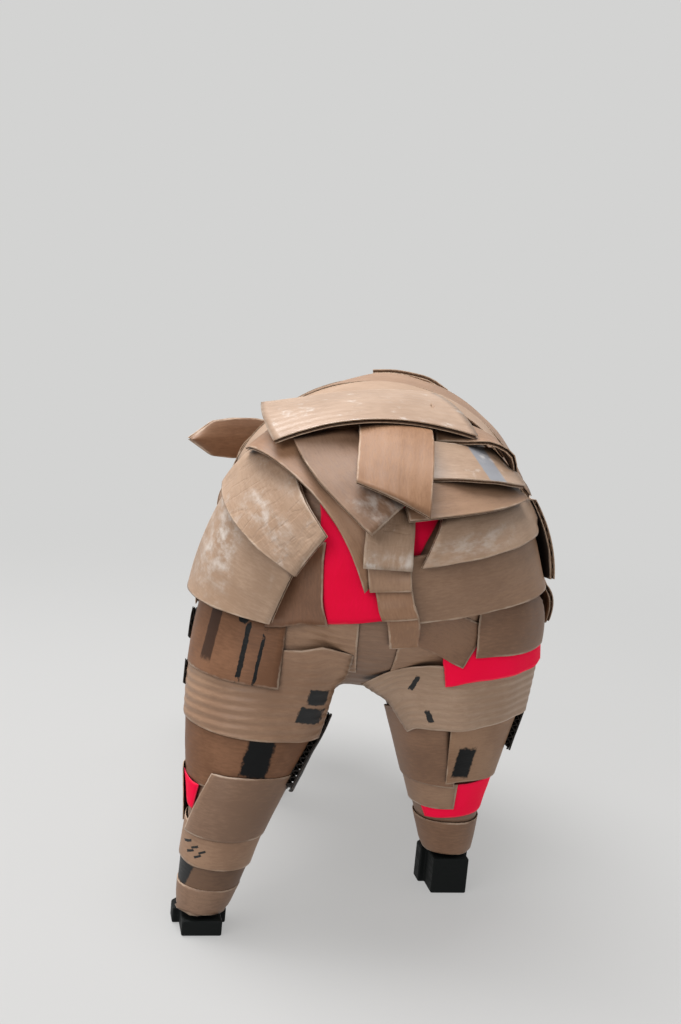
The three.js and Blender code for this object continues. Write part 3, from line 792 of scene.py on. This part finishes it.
# thin card on the thighs, shins and tail
ribbedCard = {"ribs": 0.3, "fluteShadeAndBump": 0.32, "pitch": 0.0045}
cards = {
    "shin_left_low_band": {"tone": "umber", "press": 0.3, "thin": 0.5, "marks": [
        {"at": (-135.9, 30.5), "size": (9, 12), "turn": 20, "ragged": 0.2}]},
    "cuff_left_hind": {"tone": "drab", "press": 0.2, "thin": 0.5},
    "shin_left_marked_band": {"tone": "tan", "marks": [
        {"at": place, "size": (1.1, 4.2), "turn": 62, "ragged": 0.4}
        for place in ((-134, 46), (-130, 44.6), (-126, 43.2), (-132, 42.2), (-128, 40.8))]},
    "knee_left_printed_band": {"tone": "russet", "shine": 0.2, "marks": [
        {"at": (-102.9, 92.5), "size": (13, 22), "turn": 12, "ragged": 0.3}]},
    "knee_left_lower_band": {"tone": "drab"},
    "thigh_left_ribbed_sheet": {**ribbedCard, "tone": "tan", "marks": [
        {"at": (-76.6, 121.5), "size": (9, 8), "turn": 10, "ragged": 0.35},
        {"at": (-79.6, 112.5), "size": (12, 8), "turn": 14, "ragged": 0.4}]},
    "thigh_left_printed_panel": {"tone": "russet", "shine": 0.2, "marks": [
        {"ink": "brown", "at": (-131.9, 149), "size": (5.5, 31), "turn": 9, "strength": 0.85},
        {"at": (-114.9, 143), "size": (2.4, 30), "turn": 7, "ragged": 0.7},
        {"at": (-116.4, 158), "size": (6, 6), "oval": True, "ragged": 0.5},
        {"at": (-106.9, 140), "size": (1.7, 24), "turn": 8, "ragged": 0.8}]},
    "cuff_right_hind": {"tone": "brown", "press": 0.03, "thin": 0.5},
    "hock_right_light_band": {"tone": "tan"},
    "shin_right_inner_panel": {"tone": "brown"},
    "shin_right_printed_panel": {"tone": "tan", "shine": 0.2, "marks": [
        {"at": (1.6, 85), "size": (9, 19), "turn": 6, "ragged": 0.25}]},
    "thigh_right_ribbed_sheet": {**ribbedCard, "tone": "pale", "marks": [
        {"at": (-29.4, 130), "size": (2.5, 9), "turn": 20, "ragged": 0.5},
        {"at": (-19.8, 112.2), "size": (3, 7), "turn": -25, "ragged": 0.5}]},
    "hip_right_dark_strip": {"tone": "brown", "startOut": -0.008},
    "hip_right_panel": {"tone": "brown"},
    "rump_left_inner_panel": {"tone": "russet"},
    "tail_piece_1": {"tone": "pale", "wrinkles": 0.3, "press": 0, "scuffsAndSheen": 0.6, "marks": [
        {**rub, "at": (-44, 198), "size": (24, 7), "turn": -4, "strength": 0.6}]},
    "tail_piece_2": {"tone": "tan", "press": 0},
    "tail_piece_3": {"tone": "warm", "press": 0},
    "tail_piece_4": {"tone": "warm", "press": 0},
    "leg_wrap_front_left": {"tone": "tan"},
    "leg_wrap_front_right": {"tone": "warm"},
    "snout_band": {"tone": "tan"},
}
for name, look in cards.items():
    layStrip(name, "card", {**cardDefaults, **look}, "thin_card")

# fluorescent red card, with a small emission on each piece that is painted light
redCard = {"tone": "neon", "fluteShadeAndBump": 0.0, "wearAndHighlight": 0.1, "rough": 0.75, "shine": 0.15, "edge": redEdge}
redPaintedGlow = {
    "red_patch_left_knee": 0.08, "red_band_right_hock": 0.12,
    "red_band_right_thigh": 0.12, "red_sheet_rump": 0.02,
}
for name, glow in redPaintedGlow.items():
    layStrip(name, "card", {**cardDefaults, **redCard, "glow": glow}, "red_card")
print("cards laid")

# sheets laid straight on the form, where the strips leave it bare
formLines = {
    "fromHoof": (-0.0537525, -0.0983113, -0.01), "torso": 0.186,
    "neck": (0, 0.205, 0.196), "headTurn": 33, "headDip": 12,
    "thighHeights": (109, 140, 172), "thighAcross": (-0.054, -0.0475, -0.041),
    "thighAhead": (0.052, 0.065, 0.078), "middle": 0.15, "stand": 0.5,
}
formOrigin = boxMiddle("hoof_hind_right") + Vector(formLines["fromHoof"])


def formPoint(chart, a, b):
    # where a line from the torso, head or thigh's axis, or from behind or in front, meets the form
    turn = math.radians(a)
    if chart == "torso":
        start = formOrigin + Vector((0, b / 1000, formLines["torso"]))
        away = Vector((math.sin(turn), 0, math.cos(turn)))
    elif chart == "head":
        aside, dip = math.radians(formLines["headTurn"]), math.radians(formLines["headDip"])
        axis = Vector((-math.sin(aside) * math.cos(dip), math.cos(aside) * math.cos(dip), -math.sin(dip)))
        side = axis.cross(Vector((0, 0, 1))).normalized()
        start = formOrigin + Vector(formLines["neck"]) + axis * (b / 1000)
        away = side.cross(axis) * math.cos(turn) + side * math.sin(turn)
    elif chart == "leftThigh":
        across = np.interp(b, formLines["thighHeights"], formLines["thighAcross"])
        ahead = np.interp(b, formLines["thighHeights"], formLines["thighAhead"])
        start = formOrigin + Vector((across, ahead, b / 1000))
        away = Vector((math.sin(turn), -math.cos(turn), 0))
    else:
        sign = 1 if chart == "behind" else -1
        behind = formLines["middle"] - sign * formLines["stand"]
        start = formOrigin + Vector((a / 1000, behind, b / 1000))
        away = Vector((0, sign, 0))
    return bodyTree.ray_cast(start, away)


def wrapGrid(look):
    rows, columns, probe = look["rows"], look["columns"], look["probe"]
    start, end = np.array(look["from"], float), np.array(look["to"], float)
    hits = [formPoint(look["chart"], *(start + (end - start) * part)) for part in np.linspace(0, 1, rows + 1)]
    line = np.array([hit[0][:] for hit in hits])
    along = np.gradient(line, axis=0)
    points = np.zeros((rows + 1, columns + 1, 3))
    for row in range(rows + 1):
        facing = hits[row][1]
        across = facing.cross(Vector(along[row])).normalized()
        for column in range(columns + 1):
            place = Vector(line[row]) + across * (column / columns - 0.5) * look["width"]
            hit = bodyTree.ray_cast(place + facing * probe, -facing, 2 * probe)[0]
            points[row, column] = hit if hit else bodyTree.find_nearest(place)[0]
    for _ in range(look["smooth"]):
        inner = (points[:-2, 1:-1] + points[2:, 1:-1] + points[1:-1, :-2] + points[1:-1, 2:]) / 4
        points[1:-1, 1:-1] = inner
    facings = np.zeros_like(points)
    for index in np.ndindex(points.shape[:2]):
        seat, facing, _, _ = bodyTree.find_nearest(Vector(points[index]))
        facings[index] = facing
        points[index] = seat + facing * look["height"]
    if np.dot(np.cross(along[0], points[0, -1] - points[0, 0]), facings[0, 0]) < 0:
        points, facings = points[:, ::-1], facings[:, ::-1]
    sides = np.linspace(-0.5, 0.5, columns + 1) * look["width"]
    flat = np.stack(np.broadcast_arrays(runningLength(line)[:, None], sides[None]), -1)
    return points, facings * look["thick"], flat, flat[..., look["flutesRun"]]


wrapDefaults = {
    "rows": 40, "columns": 30, "smooth": 4, "height": 0.0007, "thick": 0.0006, "flutesRun": 1, "probe": 0.02,
}
underLook = {**cardDefaults, "fluteShadeAndBump": 0.2, "pitch": 0.0045, "ribs": 0.2}
underSheets = {
    "flank_under_pale": ("pale", [
        {"chart": "torso", "from": (24, 184), "to": (128, 178), "width": 0.045, "height": 0.0012},
        {"chart": "torso", "from": (-30, 116), "to": (-118, 122), "width": 0.05},
        {"chart": "torso", "from": (-100, 236), "to": (100, 238), "width": 0.034, "rows": 70}]),
    "flank_under_tan": ("tan", [
        {"chart": "torso", "from": (20, 112), "to": (112, 116), "width": 0.052},
        {"chart": "torso", "from": (-24, 186), "to": (-130, 180), "width": 0.046, "height": 0.0012},
        {"chart": "head", "from": (70, 60), "to": (62, 134), "width": 0.05},
        {"chart": "head", "from": (-120, 66), "to": (-126, 134), "width": 0.042, "height": 0.0012}]),
    "flank_under_russet": ("warm", [
        {"chart": "torso", "from": (22, 148), "to": (134, 150), "width": 0.044, "height": 0.0018},
        {"chart": "torso", "from": (-24, 152), "to": (-138, 148), "width": 0.044, "height": 0.0018},
        {"chart": "torso", "from": (-112, 214), "to": (112, 216), "width": 0.04, "height": 0.0018,
         "rows": 70},
        {"chart": "head", "from": (-72, 62), "to": (-66, 132), "width": 0.044, "height": 0.0018},
        {"chart": "head", "from": (122, 66), "to": (126, 134), "width": 0.042, "height": 0.0018}]),
    "chest_under_drab": ("drab", [
        {"chart": "front", "from": (-46, 158), "to": (46, 158), "width": 0.042},
        {"chart": "front", "from": (-44, 130), "to": (44, 130), "width": 0.03, "height": 0.0013},
        {"chart": "head", "from": (180, 70), "to": (180, 136), "width": 0.05, "height": 0.0024}]),
    "thigh_under_ribbed": ("tan", [
        {"chart": "behind", "from": (-60, 152), "to": (-6, 150), "width": 0.046},
        {"chart": "behind", "from": (13, 146), "to": (60, 148), "width": 0.05}]),
}
for name, (tone, sheets) in underSheets.items():
    piece = newPiece(name, gridMesh(name, [wrapGrid({**wrapDefaults, **sheet}) for sheet in sheets]))
    finishSheet(piece, "card", name, {**underLook, "tone": tone})
    keepPiece(piece, "thin_card")

# short dark ends of board down the outside of the left thigh
stubs = {
    "chart": "leftThigh", "rows": 24, "columns": 10, "width": 0.009, "height": 0.0027, "thick": 0.0024,
    "flutesRun": 0, "angle": -93, "spans": ((167, 157), (149, 135), (124, 113)),
}
stubLook = {"tone": "char", "wearAndHighlight": 0.2, "pitch": 0.0065, "edge": charEdge, "flute": charEdge}
stubGrids = [wrapGrid({**wrapDefaults, **stubs, "from": (stubs["angle"], top), "to": (stubs["angle"], low)})
             for top, low in stubs["spans"]]
piece = newPiece("thigh_left_edge_stubs", gridMesh("stubs", stubGrids))
finishSheet(piece, "board", "stubs", stubLook)
keepPiece(piece, "edge_board")
print("under sheets laid")

# ears: pointed leaves of board, a little cupped
earLook = {
    **sheetDefaults, "tone": "brown", "width": 0.026, "cup": 0.003, "rootIn": 0.008,
    "rows": 28, "columns": 30, "places": (0, 0.3, 0.55, 0.76, 1), "widths": (0.72, 0.98, 1, 0.86, 0.04),
}


def solidPoints(node):
    bm = solidCopy(node)
    points = np.array([v.co[:] for v in bm.verts])
    bm.free()
    return points


def makeEar(node):
    points = solidPoints(node)
    centre = points.mean(0)
    axes = np.linalg.svd(points - centre)[2]
    away = centre - np.array(boxMiddle("body"))
    along = axes[0] * np.sign(np.dot(axes[0], away))
    across = axes[1] * np.sign(axes[1][2])
    outward = np.cross(along, across)
    reach = (points - centre) @ along
    depth = (points - centre) @ outward
    low, high = reach.min() - earLook["rootIn"], reach.max()
    part = np.linspace(0, 1, earLook["rows"] + 1)
    half = earLook["width"] / 2 * np.interp(part, earLook["places"], earLook["widths"])
    side = np.linspace(-1, 1, earLook["columns"] + 1)
    spine = centre + outward * (depth.max() + depth.min()) / 2 + np.outer(low + part * (high - low), along)
    cup = earLook["cup"] * (side**2 - 0.5)
    middle = spine[:, None] + (half[:, None] * side)[..., None] * across + cup[None, :, None] * outward
    lift = np.broadcast_to(outward * np.ptp(depth), middle.shape).copy()
    flat = np.stack(np.broadcast_arrays(part[:, None] * (high - low), half[:, None] * side), -1)
    piece = newPiece(node + "_leaf", gridMesh(node, [(middle, lift, flat, flat[..., 1])]))
    finishSheet(piece, "board", node, earLook)
    keepPiece(piece, "kraft_board", node)


for node in ("ear_left", "ear_right"):
    makeEar(node)
print("ears cut")

# hooves: black painted blocks with softened edges
hoofLook = {
    "bevel": 0.0009, "segments": 3, "flatAngle": 1.0, "dark": tint(5, 9, 9), "light": tint(17, 21, 20),
    "coatScale": 300, "coatStretch": (0.3, 0.3, 3), "coatSpan": (0.35, 0.75),
    "roughSpan": (0.3, 0.7), "rough": (0.55, 0.8), "shine": 0.2, "bump": 0.5, "bumpDepth": 0.0005,
}


def hoofPaint():
    material, tree, shader = newMaterial("hoofPaint")
    where = tree.nodes.new("ShaderNodeTexCoord").outputs["Object"]
    coat = grain(tree, where, hoofLook["coatScale"], 4, 0.6, hoofLook["coatStretch"])
    colour = blend(tree, between(tree, coat, *hoofLook["coatSpan"]), hoofLook["dark"], hoofLook["light"])
    plug(tree, colour, shader.inputs["Base Color"])
    rough = between(tree, coat, *hoofLook["roughSpan"], *hoofLook["rough"])
    plug(tree, rough, shader.inputs["Roughness"])
    shader.inputs["Specular IOR Level"].default_value = hoofLook["shine"]
    setBump(tree, shader, coat, hoofLook["bump"], hoofLook["bumpDepth"])
    return material


def makeHoof(node, paint):
    bm = solidCopy(node)
    flatAngle = math.radians(hoofLook["flatAngle"])
    bmesh.ops.dissolve_limit(bm, angle_limit=flatAngle, verts=bm.verts, edges=bm.edges)
    piece = newPiece(node + "_block", toMesh(bm, node))
    soften = piece.modifiers.new("soften", "BEVEL")
    soften.width = hoofLook["bevel"]
    soften.segments = hoofLook["segments"]
    bakeModifiers(piece)
    piece.data.materials.clear()
    piece.data.materials.append(paint)
    keepPiece(piece, "black_hoof", node)


blackPaint = hoofPaint()
for corner in ("hind_left", "hind_right", "front_left", "front_right"):
    makeHoof("hoof_" + corner, blackPaint)
print("hooves made")

# snout end: a disc of board with two nostrils
discLook = {**sheetDefaults, "tone": "warm", "cells": 48, "nostril": 0.004, "spread": 0.009}


def cutNostrils(mesh, centre, across):
    bm = bmesh.new()
    bm.from_mesh(mesh)
    radius = discLook["nostril"]
    for sign in (-1, 1):
        hole = Vector(centre + across * sign * discLook["spread"])
        inside = [f for f in bm.faces if (f.calc_center_median() - hole).length < radius]
        bmesh.ops.delete(bm, geom=inside, context="FACES")
        for v in bm.verts:
            if v.is_boundary and (v.co - hole).length < radius * 2:
                v.co = hole + (v.co - hole).normalized() * radius
    bm.to_mesh(mesh)
    bm.free()


def makeSnout():
    points = solidPoints("snout_disc")
    boxCentre = (points.max(0) + points.min(0)) / 2
    centre = points.mean(0)
    axis = np.linalg.svd(points - centre)[2][2]
    outward = axis * np.sign(np.dot(axis, boxCentre - np.array(boxMiddle("body"))))
    across = unit(np.cross(outward, (0, 0, 1)))
    upward = np.cross(across, outward)
    depth = np.ptp((points - centre) @ outward)
    radius = np.abs((points - centre) @ across).max()
    cells = np.linspace(-1, 1, discLook["cells"] + 1)
    x, y = np.meshgrid(cells, cells, indexing="ij")
    flat = np.stack((x * np.sqrt(1 - y**2 / 2), y * np.sqrt(1 - x**2 / 2)), -1) * radius
    middle = centre + flat[..., :1] * upward + flat[..., 1:] * -across
    lift = np.broadcast_to(outward * depth, middle.shape).copy()
    mesh = gridMesh("snout_disc", [(middle, lift, flat, flat[..., 1])])
    cutNostrils(mesh, centre, across)
    piece = newPiece("snout_disc_board", mesh)
    finishSheet(piece, "board", "snout_disc", discLook)
    keepPiece(piece, "kraft_board", "snout_disc")


makeSnout()
print("snout made")

# pale floor that runs out into a plain bright room, a broad soft light overhead and one at the side
stageLook = {
    "floor": tint(202, 201, 200), "floorSize": 8, "floorCells": 8, "floorRough": 0.6,
    "glow": 0.58, "glowSpan": (0.2, 1.1),
    "room": tint(211, 211, 210), "fill": 0.4, "aim": (0, -0.05, 0.18), "lights": [
        {"name": "ceilingPanel", "place": (-0.35, 0.15, 1.7), "size": (0.9, 1.4), "energy": 34.0},
        {"name": "sidePanel", "place": (-1.0, -1.5, 1.3), "size": (1.2, 1.2), "energy": 14.0},
    ],
}


def makeFloor():
    bm = bmesh.new()
    cells = stageLook["floorCells"]
    bmesh.ops.create_grid(bm, x_segments=cells, y_segments=cells, size=stageLook["floorSize"])
    mesh = toMesh(bm, "floor")
    material, tree, shader = newMaterial("floorPaper")
    shader.inputs["Base Color"].default_value = stageLook["floor"]
    shader.inputs["Roughness"].default_value = stageLook["floorRough"]
    far = addNode(tree, "ShaderNodeEmission", {"Color": stageLook["room"]})
    reach = tree.nodes.new("ShaderNodeVectorMath")
    reach.operation = "LENGTH"
    plug(tree, tree.nodes.new("ShaderNodeTexCoord").outputs["Object"], reach.inputs[0])
    glow = between(tree, reach.outputs["Value"], *stageLook["glowSpan"], stageLook["glow"], 1.0)
    mix = tree.nodes.new("ShaderNodeMixShader")
    plug(tree, glow, mix.inputs[0])
    plug(tree, shader.outputs[0], mix.inputs[1])
    plug(tree, far.outputs[0], mix.inputs[2])
    result = [node for node in tree.nodes if node.type == "OUTPUT_MATERIAL"][0]
    plug(tree, mix.outputs[0], result.inputs["Surface"])
    mesh.materials.append(material)
    newPiece("floor", mesh)


def makeRoom():
    world = bpy.data.worlds.new("softRoom")
    world.use_nodes = True
    tree = world.node_tree
    room = tree.nodes["Background"]
    room.inputs["Color"].default_value = stageLook["room"]
    rays = tree.nodes.new("ShaderNodeLightPath")
    strength = between(tree, rays.outputs["Is Diffuse Ray"], 0.0, 1.0, 1.0, stageLook["fill"])
    plug(tree, strength, room.inputs["Strength"])
    bpy.context.scene.world = world
    bpy.context.scene.view_settings.view_transform = "Standard"


def makeLight(look):
    data = bpy.data.lights.new(look["name"], "AREA")
    data.shape = "RECTANGLE"
    data.size, data.size_y = look["size"]
    data.energy = look["energy"]
    lamp = bpy.data.objects.new(look["name"], data)
    lamp.location = look["place"]
    aim = Vector(stageLook["aim"]) - lamp.location
    lamp.rotation_euler = aim.to_track_quat("-Z", "Y").to_euler()
    bpy.context.scene.collection.objects.link(lamp)


makeFloor()
makeRoom()
for light in stageLook["lights"]:
    makeLight(light)
print("stage set")
